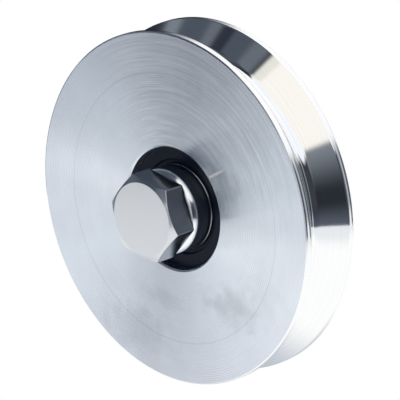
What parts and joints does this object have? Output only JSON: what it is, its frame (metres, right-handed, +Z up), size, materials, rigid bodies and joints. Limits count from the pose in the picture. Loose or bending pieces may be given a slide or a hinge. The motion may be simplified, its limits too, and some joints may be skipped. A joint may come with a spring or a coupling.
{
  "type": "v groove wheel",
  "caption": "Steel wheel with a V groove round its rim, turning on a sealed ball bearing between flanged spacers on a hexagon-head axle bolt with washers and nut.",
  "frame": {"origin": "the wheel's centre: on the axle line, half way through the wheel's width, in the groove's middle plane", "axes": "+Y along the axle from the bolt's head to its nut, +Z up"},
  "size_m": [0.1, 0.0678, 0.1],
  "materials": {
    "wheel_steel": "turned, fine concentric lathe lines, bright",
    "bearing_steel": "ground and polished",
    "ball_steel": "polished",
    "cage_steel": "pressed sheet, satin",
    "seal_rubber": "smooth moulded, semi-matt black",
    "spring_steel": "blackened, oiled",
    "spacer_steel": "turned and polished",
    "plated_steel": "zinc plated, bright"
  },
  "bodies": {
    "axle": {"axle_bolt": "plated_steel", "spacer_front": "spacer_steel", "spacer_rear": "spacer_steel", "bearing_inner_ring": "bearing_steel", "plain_washer": "plated_steel", "spring_washer": "plated_steel", "hex_nut": "plated_steel"},
    "wheel": {"wheel": "wheel_steel", "bearing_outer_ring": "bearing_steel", "seal_front": "seal_rubber", "seal_rear": "seal_rubber", "retaining_ring": "spring_steel"},
    "ball_cage": {"cage_front": "cage_steel", "cage_rear": "cage_steel", "cage_rivets": "cage_steel", "ball_1": "ball_steel", "ball_2": "ball_steel", "ball_3": "ball_steel", "ball_4": "ball_steel", "ball_5": "ball_steel", "ball_6": "ball_steel", "ball_7": "ball_steel", "ball_8": "ball_steel"}
  },
  "joints": [
    {"name": "wheel_spin", "type": "hinge", "parent": "axle", "child": "wheel", "pos_m": [0, 0, 0], "axis": [0, 1, 0], "continuous": true},
    {"name": "cage_spin", "type": "hinge", "parent": "axle", "child": "ball_cage", "pos_m": [0, 0, 0], "axis": [0, 1, 0], "continuous": true}
  ],
  "couplings": [
    {"joint": "cage_spin", "follows": "wheel_spin", "ratio": 0.61754}
  ]
}
